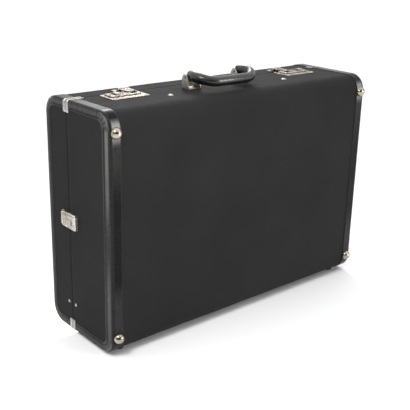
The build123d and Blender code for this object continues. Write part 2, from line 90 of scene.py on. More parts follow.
def area(name, loc, target, size, power, tall=None, spread=180):
    d = bpy.data.lights.new(name, "AREA")
    d.shape, d.size, d.energy = "RECTANGLE" if tall else "DISK", size, power
    d.spread = radians(spread)
    if tall:
        d.size_y = tall
    o = bpy.data.objects.new(name, d)
    sc.collection.objects.link(o)
    o.location = loc
    o.rotation_mode = "QUATERNION"
    o.rotation_quaternion = (Vector(target) - Vector(loc)).to_track_quat("-Z", "Y")
    return o


area("key", (-1.02, -0.42, 1.30), (-0.25, -0.05, 0.3), 0.40, 10)
area("rim", (1.05, 1.55, 1.45), (0, 0, 0.38), 0.7, 13)
area("side", (-2.0, 0.9, 1.25), (-0.29, 0.0, 0.35), 0.7, 0.8)
area("front", (1.22, -2.05, 0.84), (-0.16, -0.05, 0.42), 0.36, 2.2, 1.5, 40)
sun_d = bpy.data.lights.new("overhead", "SUN")
sun_d.energy, sun_d.angle = 1.3, radians(110)
sun_o = bpy.data.objects.new("overhead", sun_d)
sc.collection.objects.link(sun_o)
sun_o.location = (0, 0, 3)

# ------------------------------------------------------------------ materials


class Mat:
    """Small helper for node materials."""

    def __init__(self, name):
        self.m = bpy.data.materials.new(name)
        self.m.use_nodes = True
        self.t = self.m.node_tree
        self.b = self.t.nodes["Principled BSDF"]
        self.tc = self.t.nodes.new("ShaderNodeTexCoord")

    def n(self, kind, **kw):
        x = self.t.nodes.new(kind)
        for k, v in kw.items():
            setattr(x, k, v)
        return x

    def link(self, a, b):
        self.t.links.new(a, b)

    def mapped(self, space="Object", scale=(1, 1, 1), rot=(0, 0, 0)):
        mp = self.n("ShaderNodeMapping")
        mp.inputs["Scale"].default_value = scale
        mp.inputs["Rotation"].default_value = rot
        self.link(self.tc.outputs[space], mp.inputs["Vector"])
        return mp.outputs[0]

    def noise(self, vec, scale, detail=3.0, rough=0.5):
        x = self.n("ShaderNodeTexNoise")
        x.inputs["Scale"].default_value = scale
        x.inputs["Detail"].default_value = detail
        x.inputs["Roughness"].default_value = rough
        self.link(vec, x.inputs["Vector"])
        return x.outputs["Fac"]

    def voronoi(self, vec, scale, feature="F1"):
        x = self.n("ShaderNodeTexVoronoi", feature=feature)
        x.inputs["Scale"].default_value = scale
        self.link(vec, x.inputs["Vector"])
        return x.outputs["Distance"]

    def wave(self, vec, period, direction="X"):
        x = self.n("ShaderNodeTexWave", wave_type="BANDS", bands_direction=direction)
        x.inputs["Scale"].default_value = 2 * pi / (20 * period)
        x.inputs["Distortion"].default_value = 0.0
        self.link(vec, x.inputs["Vector"])
        return x.outputs["Fac"]

    def rng(self, v, a, b, lo, hi, smooth=False):
        x = self.n("ShaderNodeMapRange")
        if smooth:
            x.interpolation_type = "SMOOTHSTEP"
        for i, k in enumerate((a, b, lo, hi)):
            x.inputs[i + 1].default_value = k
        self.link(v, x.inputs[0])
        return x.outputs[0]

    def math(self, op, a, b=None):
        x = self.n("ShaderNodeMath", operation=op)
        for i, v in enumerate((a, b)):
            if v is None:
                continue
            if isinstance(v, (int, float)):
                x.inputs[i].default_value = v
            else:
                self.link(v, x.inputs[i])
        return x.outputs[0]

    def mix(self, fac, c0, c1):
        x = self.n("ShaderNodeMix", data_type="RGBA")
        if isinstance(fac, (int, float)):
            x.inputs[0].default_value = fac
        else:
            self.link(fac, x.inputs[0])
        for i, c in ((6, c0), (7, c1)):
            if isinstance(c, tuple):
                x.inputs[i].default_value = (*c, 1)
            else:
                self.link(c, x.inputs[i])
        return x.outputs[2]

    def attr(self, name):
        x = self.n("ShaderNodeAttribute", attribute_name=name)
        return x.outputs["Fac"]

    def bump(self, h, dist, strength=1.0, prev=None):
        x = self.n("ShaderNodeBump")
        x.inputs["Strength"].default_value = strength
        x.inputs["Distance"].default_value = dist
        self.link(h, x.inputs["Height"])
        if prev is not None:
            self.link(prev, x.inputs["Normal"])
        return x.outputs[0]

    def set(self, **kw):
        for k, v in kw.items():
            s = self.b.inputs[{"color": "Base Color", "rough": "Roughness", "metal": "Metallic", "normal": "Normal",
                               "spec": "Specular IOR Level", "coat": "Coat Weight", "coat_rough": "Coat Roughness",
                               "sheen": "Sheen Weight", "sheen_rough": "Sheen Roughness", "ior": "IOR"}[k]]
            if isinstance(v, (int, float)):
                s.default_value = v
            elif isinstance(v, tuple):
                s.default_value = (*v, 1)
            else:
                self.link(v, s)
        return self


def weave_height(m, uv, p):
    """Plain weave: threads over and under in turn, pitch p."""
    a, b = m.wave(uv, p, "X"), m.wave(uv, p, "Y")
    a2, b2 = m.wave(uv, 2 * p, "X"), m.wave(uv, 2 * p, "Y")
    chk = m.math("ABSOLUTE", m.math("SUBTRACT", a2, b2))
    return m.math("ADD", m.math("MULTIPLY", a, chk), m.math("MULTIPLY", b, m.math("SUBTRACT", 1.0, chk)))


def cloth_material():
    m = Mat("cloth_black")
    uv, ob = m.mapped("UV"), m.mapped("Object")
    w = weave_height(m, uv, 0.0007)
    big = m.noise(ob, 7.0, 3.0, 0.55)
    mid = m.noise(ob, 60.0, 3.0, 0.6)
    fine = m.noise(ob, 900.0, 2.0, 0.6)
    v = m.math("ADD", m.math("MULTIPLY", big, 0.5), m.math("MULTIPLY", mid, 0.35))
    v = m.math("ADD", v, m.math("MULTIPLY", fine, 0.15))
    col = m.mix(m.rng(v, 0.36, 0.64, 0, 1, True), (0.0122, 0.0122, 0.0123), (0.0172, 0.0171, 0.0168))
    rough = m.rng(mid, 0.3, 0.7, 0.74, 0.86)
    nrm = m.bump(w, 0.00012, 0.45)
    nrm = m.bump(mid, 0.0012, 0.10, nrm)
    m.set(color=col, rough=rough, normal=nrm, spec=0.15)
    return m.m


def leather_material(name, c0, c1, scuff_and_highlight_color, r0, r1, grain=0.0011, spec=0.5, coat=0.0, crease=0.5, amount=0.85, even=0.50, pebble=0.35):
    m = Mat(name)
    ob = m.mapped("Object")
    cells = m.voronoi(ob, 1.0 / grain, "F1")
    big = m.noise(ob, 26.0, 4.0, 0.6)
    mid = m.noise(ob, 170.0, 4.0, 0.65)
    streak = m.noise(m.mapped("Object", (1.0, 1.0, 0.16)), 260.0, 3.0, 0.6)
    col = m.mix(m.rng(big, 0.35, 0.65, 0, 1, True), c0, c1)
    # The per-vertex attribute read here holds real scuffing plus painted highlights; values from 1 to 2 paint a pale
    # highlight patch.
    wear_and_sheen = m.attr("wear_and_sheen")
    painted_highlight = m.rng(wear_and_sheen, 1.0, 2.0, 0, 0.55)
    scuff_and_sheen_noise = m.math("MULTIPLY", m.rng(streak, 0.34, 0.62, even, 1, True), m.rng(mid, 0.3, 0.65, 0.5 + 0.5 * even, 1))
    scuff_and_sheen_mask = m.math("MULTIPLY", wear_and_sheen, scuff_and_sheen_noise)
    col = m.mix(m.rng(scuff_and_sheen_mask, 0, 1, 0, amount), col, scuff_and_highlight_color)
    # painted highlight: a paler copy of the scuff colour where the attribute goes above 1
    col = m.mix(painted_highlight, col, tuple(min(1.0, 2.1 * v) for v in scuff_and_highlight_color))
    rough = m.math("ADD", m.rng(mid, 0.3, 0.7, r0, r1), m.math("MULTIPLY", scuff_and_sheen_mask, 0.12))
    nrm = m.bump(cells, grain * 0.12, pebble)
    nrm = m.bump(mid, 0.0009, 0.22 * crease, nrm)
    nrm = m.bump(big, 0.004, 0.18 * crease, nrm)
    m.set(color=col, rough=rough, normal=nrm, spec=spec, coat=coat, coat_rough=0.2)
    return m.m


def metal_material(name, c0, c1, tarnish, r0, r1, dents=0.3, grime_and_shade_amount=0.8, reach=0.003, edge=(0.62, 0.585, 0.545)):
    """Worn plating, dull and brown in the pits, the tight corners and the gaps between parts: part grime, part painted
    shade laid in by an occlusion mask.
    """
    m = Mat(name)
    ob = m.mapped("Object")
    big = m.noise(ob, 90.0, 4.0, 0.6)
    spots = m.noise(ob, 520.0, 4.0, 0.7)
    brush = m.noise(m.mapped("Object", (0.12, 1.0, 1.0)), 2400.0, 2.0, 0.6)
    col = m.mix(m.rng(big, 0.35, 0.65, 0, 1, True), c0, c1)
    col = m.mix(m.rng(spots, 0.56, 0.72, 0, 0.7, True), col, tarnish)
    # painted shade: occlusion from this and neighbouring parts darkens crevices and gaps towards dark brown, mixed with
    # grime
    ao = m.n("ShaderNodeAmbientOcclusion", samples=8)
    ao.inputs["Distance"].default_value = reach
    grime_and_shade_mask = m.rng(ao.outputs["AO"], 0.40, 0.88, grime_and_shade_amount, 0.0, True)
    col = m.mix(grime_and_shade_mask, col, (tarnish[0] * 0.3, tarnish[1] * 0.26, tarnish[2] * 0.2))
    rough = m.math("ADD", m.rng(big, 0.3, 0.7, r0, r1), m.rng(spots, 0.5, 0.75, 0, 0.22))
    rough = m.math("ADD", rough, m.math("MULTIPLY", grime_and_shade_mask, 0.3))
    nrm = m.bump(brush, 0.00006, 0.25)
    nrm = m.bump(spots, 0.0003, dents, nrm)
    nrm = m.bump(m.noise(ob, 260.0, 3.0, 0.55), 0.0010, dents, nrm)
    m.set(color=col, rough=rough, metal=1.0, normal=nrm)
    m.b.inputs["Specular Tint"].default_value = (*edge, 1.0)
    return m.m


def board_material():
    m = Mat("plywood")
    ob = m.mapped("Object")
    grain = m.noise(m.mapped("Object", (0.06, 1.0, 1.0)), 420.0, 4.0, 0.6)
    big = m.noise(ob, 12.0, 3.0, 0.5)
    col = m.mix(grain, (0.36, 0.24, 0.13), (0.56, 0.41, 0.25))
    col = m.mix(m.rng(big, 0.4, 0.6, 0, 0.35), col, (0.28, 0.19, 0.11))
    sep = m.n("ShaderNodeSeparateXYZ")
    m.link(ob, sep.inputs[0])
    rim = m.math("ABSOLUTE", m.math("SUBTRACT", sep.outputs["Y"], 0.032))
    col = m.mix(m.rng(rim, 0.0025, 0.0055, 1, 0, True), col, (0.006, 0.006, 0.006))
    m.set(color=col, rough=m.rng(grain, 0.3, 0.7, 0.55, 0.75), normal=m.bump(grain, 0.0004, 0.4), spec=0.3)
    return m.m


def lining_material(name, c0, c1, pitch):
    m = Mat(name)
    uv, ob = m.mapped("UV"), m.mapped("Object")
    w = weave_height(m, uv, pitch)
    big = m.noise(ob, 9.0, 3.0, 0.55)
    mid = m.noise(ob, 140.0, 3.0, 0.6)
    v = m.math("ADD", m.math("MULTIPLY", big, 0.6), m.math("MULTIPLY", mid, 0.4))
    col = m.mix(m.rng(v, 0.35, 0.65, 0, 1, True), c0, c1)
    col = m.mix(m.rng(w, 0.0, 1.2, 0.35, 0), col, (c0[0] * 0.25, c0[1] * 0.24, c0[2] * 0.23))
    nrm = m.bump(w, 0.0002, 0.5)
    nrm = m.bump(big, 0.01, 0.12, nrm)
    m.set(color=col, rough=m.rng(mid, 0.3, 0.7, 0.75, 0.9), normal=nrm, spec=0.25, sheen=0.2, sheen_rough=0.5)
    return m.m


M = {
    "cloth": cloth_material(),
    "binding": leather_material("binding_leather", (0.0022, 0.0022, 0.0022), (0.0046, 0.0045, 0.0044),
                                (0.16, 0.159, 0.157), 0.22, 0.34, spec=0.11, crease=0.12, even=0.82, pebble=0.12),
    "grip": leather_material("grip_leather", (0.0036, 0.0036, 0.0036), (0.0065, 0.0063, 0.0062), (0.05, 0.043, 0.036),
                             0.24, 0.34, 0.0014, 0.6, 0.0, 0.3, pebble=0.2),
    "grip_end": leather_material("grip_end_leather", (0.010, 0.008, 0.005), (0.026, 0.020, 0.012), (0.08, 0.06, 0.04),
                                 0.45, 0.65, 0.0008, 0.3),
    "nickel": metal_material("nickel_worn", (0.36, 0.335, 0.305), (0.52, 0.49, 0.455), (0.13, 0.095, 0.06), 0.16, 0.30,
                             0.9, 1.0, 0.005),
    "clasp": metal_material("nickel_clasp", (0.58, 0.54, 0.48), (0.84, 0.80, 0.735), (0.19, 0.145, 0.10), 0.2, 0.34,
                            1.0, 0.75, 0.0018),
    # painted shade: the lock plug is coloured near-black to stand for the dark keyhole
    "plug": metal_material("lock_plug_painted_shade", (0.030, 0.025, 0.017), (0.055, 0.047, 0.033), (0.03, 0.024, 0.016), 0.35, 0.5,
                           0.4, 1.0, 0.003),
    # painted shade: a wide occlusion reach darkens the bracket plate under the grip
    "bracket": metal_material("nickel_bracket", (0.42, 0.40, 0.365), (0.55, 0.53, 0.49), (0.24, 0.20, 0.15), 0.26, 0.40,
                              0.5, 1.0, 0.014),
    "stud": metal_material("nickel_studs", (0.33, 0.29, 0.225), (0.50, 0.45, 0.37), (0.14, 0.10, 0.06), 0.10, 0.2, 0.12, 1.0, 0.006, (0.75, 0.72, 0.68)),
    "clip": metal_material("nickel_clips", (0.42, 0.40, 0.37), (0.64, 0.62, 0.59), (0.20, 0.17, 0.13), 0.22, 0.36, 0.7, 1.0, 0.003),
    "steel": metal_material("plated_steel", (0.42, 0.41, 0.40), (0.55, 0.54, 0.52), (0.20, 0.18, 0.16), 0.28, 0.42),
    "board": board_material(),
    "lining": lining_material("lining_cloth", (0.26, 0.215, 0.16), (0.33, 0.28, 0.21), 0.0012),
    "lip": lining_material("lip_cloth", (0.016, 0.016, 0.016), (0.024, 0.024, 0.023), 0.0010),
}


def rubber():
    m = Mat("feet_rubber")
    ob = m.mapped("Object")
    a, b = m.noise(ob, 300.0, 3.0, 0.6), m.noise(ob, 40.0, 2.0, 0.5)
    m.set(color=m.mix(a, (0.013, 0.013, 0.013), (0.026, 0.026, 0.025)), rough=m.rng(b, 0.3, 0.7, 0.5, 0.7),
          normal=m.bump(a, 0.0003, 0.4))
    return m.m


M["rubber"] = rubber()

SLOT_MAT = {"cloth": "cloth", "binding_leather": "binding", "board": "board", "lining": "lining", "lip_board": "lip",
            "grip_leather": "grip", "clip_metal": "clip", "stud_metal": "stud", "feet_metal": "rubber",
            "feet_rubber": "rubber", "lock_metal": "nickel", "handle_metal": "bracket", "steel": "steel"}
for sp in frame["record"]["subparts"]:
    o = NODES[sp["node"]]
    o.data.materials.clear()
    key = SLOT_MAT[sp["material_slot"]]
    if key == "nickel" and sp["node"].startswith("side_"):
        key = "plug" if sp["node"].endswith("_plug") else "clasp"
    o.data.materials.append(M[key])

# ------------------------------------------------------------------ floor
fm = Mat("floor_paper")
fob = fm.mapped("Object")
fm.set(color=fm.mix(fm.noise(fob, 3.0, 2.0), (0.945, 0.945, 0.945), (0.955, 0.955, 0.955)), rough=0.95, spec=0.0)
me = bpy.data.meshes.new("floor")
# the floor steps down behind the case, so that the lid can swing open
STEP_Y, LOW = 0.024, -0.75
me.from_pydata([(-40, -40, 0), (40, -40, 0), (40, STEP_Y, 0), (-40, STEP_Y, 0),
                (40, STEP_Y, LOW), (-40, STEP_Y, LOW), (40, 40, LOW), (-40, 40, LOW)], [],
               [(0, 1, 2, 3), (3, 2, 4, 5), (5, 4, 6, 7)])
floor = bpy.data.objects.new("floor", me)
sc.collection.objects.link(floor)
me.materials.append(fm.m)

# ------------------------------------------------------------------ case geometry
Y_FRONT, Y_BACK, Z_BOT, Z_TOP, R_WRAP = -88.0, 94.0, 5.0, 401.0, 28.0
X_COV, X_BIND, BIND_W, Y_PART, GAP = 289.0, 290.0, 21.0, 32.0, 0.25


def new_obj(name, verts, faces, mat, body, uvs=None, attrs=None, smooth=True):
    """verts in millimetres in the row frame; uvs one per vertex, in metres."""
    me = bpy.data.meshes.new(name)
    me.from_pydata([tuple(c * MM for c in v) for v in verts], [], faces)
    for mt in (mat if isinstance(mat, (list, tuple)) else [mat]):
        me.materials.append(M[mt])
    if uvs is not None:
        layer = me.uv_layers.new(name="UVMap")
        for lp in me.loops:
            layer.data[lp.index].uv = uvs[lp.vertex_index]
    for k, vals in (attrs or {}).items():
        a = me.attributes.new(k, "FLOAT", "POINT")
        for i, v in enumerate(vals):
            a.data[i].value = v
    if smooth:
        for p in me.polygons:
            p.use_smooth = True
    me.validate()
    me.update()
    o = bpy.data.objects.new(name, me)
    sc.collection.objects.link(o)
    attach(o, body)
    return o


def grid_faces(nu, nv, flip=False, wrap_v=False, base=0):
    out = []
    for i in range(nu - 1):
        for j in range(nv if wrap_v else nv - 1):
            a, b = base + i * nv + j, base + i * nv + (j + 1) % nv
            c, d = a + nv, b + nv
            out.append((a, b, d, c) if flip else (a, c, d, b))
    return out


def seg(a, b, n):
    return [a + (b - a) * k / n for k in range(n + 1)]


def outline(side, y_end, n_top=14, n_front=44, n_arc=12):
    """Stations round the wrap of one shell: (arc, y, z, ny, nz, s) at offset 0, arc None or the corner's angle 0..1."""
    st = []
    yc = Y_FRONT + R_WRAP if side == "base" else Y_BACK - R_WRAP
    sg = -1 if side == "base" else 1
    for y in seg(y_end, yc, n_top):
        st.append((("top", (y - y_end) / (yc - y_end)), y, Z_TOP, 0, 1))
    for k in range(1, n_arc):
        a = pi / 2 * k / n_arc
        st.append((("c1", k / n_arc), yc + sg * R_WRAP * sin(a), Z_TOP - R_WRAP + R_WRAP * cos(a), sg * sin(a), cos(a)))
    yo = Y_FRONT if side == "base" else Y_BACK
    for z in seg(Z_TOP - R_WRAP, Z_BOT + R_WRAP, n_front):
        st.append((("side", (Z_TOP - R_WRAP - z) / (Z_TOP - Z_BOT - 2 * R_WRAP)), yo, z, sg, 0))
    for k in range(1, n_arc):
        a = pi / 2 * k / n_arc
        st.append((("c2", k / n_arc), yc + sg * R_WRAP * cos(a), Z_BOT + R_WRAP - R_WRAP * sin(a), sg * cos(a), -sin(a)))
    for y in seg(yc, y_end, n_top):
        st.append((("bottom", (y - yc) / (y_end - yc)), y, Z_BOT, 0, -1))
    out, s, prev = [], 0.0, None
    for t, y, z, ny, nz in st:
        if prev:
            s += sqrt((y - prev[0]) ** 2 + (z - prev[1]) ** 2)
        prev = (y, z)
        out.append((t, y, z, ny, nz, s))
    return out


def smooth(a, b, v):
    t = min(1.0, max(0.0, (v - a) / (b - a)))
    return t * t * (3 - 2 * t)


def nz3(x, y, z, f):
    return noise.noise(Vector((x * f, y * f, z * f)))


ROLL = ((0.0, 1.6), (0.35, 1.0), (0.9, 0.42), (1.7, 0.0))      # distance from the rim, depth


def make_cover(side):
    """Cloth over one shell: the wrap with its rolled and turned-in rim, and the two end panels."""
    sg = -1 if side == "base" else 1
    y_end = Y_PART + sg * 0.12                  # the cloth stands just proud of the boards' rims
    st = outline(side, y_end)
    xs = seg(-286.0, 286.0, 84)
    verts, uvs = [], []
    t0, y0, z0, ny0, nz0, s0 = st[0]
    t1, y1, z1, ny1, nz1, s1 = st[-1]
    rows = [(y_end, z0 - d, 0, 0, -d) for d in (5.2, 3.2, 1.8)]
    rows += [(y_end + sg * q, z0 - d, 0, 0, q - d) for q, d in ROLL]
    rows += [(y, z, ny, nz, s) for t, y, z, ny, nz, s in st[1:-1]]
    rows += [(y_end + sg * q, z1 + d, 0, 0, s1 - q + d) for q, d in reversed(ROLL)]
    rows += [(y_end, z1 + d, 0, 0, s1 + d) for d in (1.8, 3.2, 5.2)]
    for y, z, ny, nz, s in rows:
        for x in xs:
            d = 0.22 * nz3(x, y, z, 0.018) - 0.10
            verts.append((x, y + ny * d, z + nz * d))
            uvs.append((x * MM, s * MM))
    faces = grid_faces(len(rows), len(xs), flip=(side == "base"))
    obj = new_obj(side + "_cloth_wrap", verts, faces, "cloth", side, uvs)
    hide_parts(side + "_cover")
    for sx in (-1, 1):
        verts, uvs = [], []
        yo = Y_FRONT + 14 if side == "base" else Y_BACK - 8
        ys = seg(yo, y_end + sg * 1.7, 16)[:-1]
        zs = seg(12.0, 394.0, 44)
        cols = [(0.0, y) for y in ys] + [(d, y_end + sg * q) for q, d in reversed(ROLL)] + [(1.8, y_end), (5.2, y_end)]
        for z in zs:
            for d, y in cols:
                b = 0.18 * nz3(sx * 50 + 3, y, z, 0.02) - 0.08
                verts.append((sx * (X_COV + (b if d == 0 else 0) - d), y, z))
                uvs.append(((y + (d if side == "base" else -d)) * MM, z * MM))
        flip = (sx > 0) == (side == "base")
        o = new_obj(f"{side}_cloth_end_{'left' if sx < 0 else 'right'}", verts, grid_faces(len(zs), len(cols), flip=flip),
                    "cloth", side, uvs)
    return obj


def make_lining(side):
    """Lining cloth on the inside of one shell, glued to the boards."""
    sg = -1 if side == "base" else 1
    y_end = Y_PART + sg * GAP
    st = outline(side, y_end, n_top=10, n_front=34, n_arc=8)
    XI = X_COV - 6.0

    def soft(x, y, z):
        return 0.10 + 0.12 * nz3(x, y, z, 0.03) + 0.03 * nz3(x, y, z, 0.2)

    def inner(k, o):
        t, y, z, ny, nz, s = st[k]
        return y - ny * o, z - nz * o

    verts, uvs = [], []
    xs = seg(-XI, XI, 60)
    for k, (t, y, z, ny, nz, s) in enumerate(st):
        for x in xs:
            o = 6.0 + (0 if k in (0, len(st) - 1) else soft(x, y, z))
            yy, zz = inner(k, o)
            verts.append((x, yy, zz))
            uvs.append((x * MM, s * MM))
    faces = grid_faces(len(st), len(xs), flip=(side == "lid"))
    n_f = 9
    for sx in (-1, 1):
        base = len(verts)
        for k in range(len(st)):
            ya, za = inner(k, 6.0)
            zb = (Z_TOP - 6.0) + (Z_BOT + 6.0 - (Z_TOP - 6.0)) * k / (len(st) - 1)
            for j in range(n_f + 1):
                u = j / n_f
                y, z = ya + (y_end - ya) * u, za + (zb - za) * u
                edge = 0 if j in (0, n_f) else 1
                verts.append((sx * (XI - edge * soft(sx * 40, y, z)), y, z))
                uvs.append((y * MM, z * MM))
        faces += grid_faces(len(st), n_f + 1, flip=(sx < 0) == (side == "base"), base=base)
    o = new_obj(side + "_lining_cloth", verts, faces, "lining", side, uvs)
    sol = o.modifiers.new("thick", "SOLIDIFY")
    sol.thickness, sol.offset = 0.0006, -1.0
    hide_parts(side + "_lining")
    return o


def make_lip():
    """Cloth covered strip round the base opening that locates the lid."""
    prof = [(0.0, 16.6), (0.0, 24.0), (0.0, 31.0), (0.22, 31.5), (0.47, 31.9), (0.5, 35.0), (0.55, 37.2), (0.8, 37.75),
            (1.3, 37.95), (1.8, 37.85), (2.15, 37.4), (2.3, 36.5), (2.36, 30.0), (2.36, 23.0), (2.36, 16.8)]
    corners = [(-1, 1), (1, 1), (1, -1), (-1, -1)]
    counts = [48, 32, 48, 32]
    verts, uvs, stations = [], [], []
    for c in range(4):
        for k in range(counts[c]):
            stations.append((c, k / counts[c]))
    per = 0.0
    for c, f in stations:
        (ax, az), (bx_, bz) = corners[c], corners[(c + 1) % 4]
        L = 566.0 if c % 2 == 0 else 384.0
        acc = 0.0
        for i, (o, y) in enumerate(prof):
            p = (ax * (283.0 - o), 203.0 + az * (192.0 - o))
            q = (bx_ * (283.0 - o), 203.0 + bz * (192.0 - o))
            if i:
                acc += sqrt((o - prof[i - 1][0]) ** 2 + (y - prof[i - 1][1]) ** 2)
            verts.append((p[0] + (q[0] - p[0]) * f, y, p[1] + (q[1] - p[1]) * f))
            uvs.append(((per + L * f) * MM, acc * MM))
        if f + 1.5 / counts[c] > 1:
            per += L
    n, m = len(stations), len(prof)
    faces = []
    for i in range(n):
        for j in range(m - 1):
            a, b = i * m + j, i * m + j + 1
            c2, d = ((i + 1) % n) * m + j, ((i + 1) % n) * m + j + 1
            faces.append((a, c2, d, b))
    o = new_obj("base_lip_cloth", verts, faces, "lip", "base", uvs)
    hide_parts("base_lip")
    return o


def make_feet(side):
    """Moulded rubber glides with a dished middle round the nail."""
    y = -60.0 if side == "base" else 56.0
    prof = [(7.9, 5.2), (8.0, 4.6), (8.0, 1.6), (7.75, 0.75), (7.2, 0.2), (6.5, 0.02), (4.2, 0.0), (3.6, 0.15), (3.3, 0.9),
            (2.8, 1.3), (1.2, 1.35), (0.05, 1.35)]
    nv, verts, uvs, faces = 40, [], [], []
    for sx in (-1, 1):
        base, acc = len(verts), 0.0
        for i, (r, z) in enumerate(prof):
            if i:
                acc += sqrt((r - prof[i - 1][0]) ** 2 + (z - prof[i - 1][1]) ** 2)
            for j in range(nv):
                a = 2 * pi * j / nv
                verts.append((sx * 260.0 + r * cos(a), y + r * sin(a), z))
                uvs.append((8.0 * a * MM, acc * MM))
        faces += grid_faces(len(prof), nv, flip=False, wrap_v=True, base=base)
        faces.append(tuple(base + (len(prof) - 1) * nv + j for j in reversed(range(nv))))
    o = new_obj(side + "_rubber_glides", verts, faces, "rubber", side, uvs)
    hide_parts(side + "_feet")
    return o


def make_clips(side):
    """Pressed clips over the binding ends: a domed lobe on the end face, a flat tail on the wrap."""
    sg = -1 if side == "base" else 1
    ya, yb = (24.3, Y_PART - GAP) if side == "base" else (Y_PART + GAP, 39.7)
    yc, hw = (ya + yb) / 2, (yb - ya) / 2
    n_v = 14
    verts, uvs, wear_and_sheen, faces = [], [], [], []
    for sx in (-1, 1):
        for top in (True, False):
            zt = Z_TOP + 1.0 if top else Z_BOT - 1.0
            up = 1 if top else -1
            path = [(259.5 + 25.5 * k / 10, zt, 0.0, 1.0) for k in range(11)]
            for k in range(1, 9):
                a = pi / 2 * k / 9
                path.append((286.0 + 4.0 * sin(a), zt - up * (4.0 - 4.0 * cos(a)), sin(a), cos(a)))
            path += [(290.0, zt - up * (4.0 + 16.0 * k / 12), 1.0, 0.0) for k in range(13)]
            base, s = len(verts), 0.0
            for i, (x, z, nx, nzz) in enumerate(path):
                if i:
                    s += sqrt((x - path[i - 1][0]) ** 2 + (z - path[i - 1][1]) ** 2)
                on_end = nx
                tip = min(1.0, min(i, len(path) - 1 - i) / 1.6 + 0.05)
                width = hw * (0.42 + 0.56 * on_end) * (0.86 + 0.14 * tip)
                crest = 0.38 + 0.95 * on_end
                for j in range(n_v + 1):
                    v = -1 + 2 * j / n_v
                    bead = max(0.0, 1 - v * v) ** 0.5
                    h = -0.35 + (crest + 0.35) * bead * (0.25 + 0.75 * tip)
                    # a pressed line along each side
                    h -= 0.16 * on_end * max(0.0, 1 - abs(abs(v) - 0.62) / 0.14)
                    verts.append((sx * (x + nx * h), yc + v * width, z + up * nzz * h))
                    uvs.append((s * MM, v * hw * MM))
                    wear_and_sheen.append(0.7 * (1 - on_end))
            faces += grid_faces(len(path), n_v + 1, flip=(sx > 0) == top, base=base)
    o = new_obj(side + "_clips_pressed", verts, faces, "clip", side, uvs, {"wear_and_sheen": wear_and_sheen})
    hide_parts(side + "_edge_clips")
    return o


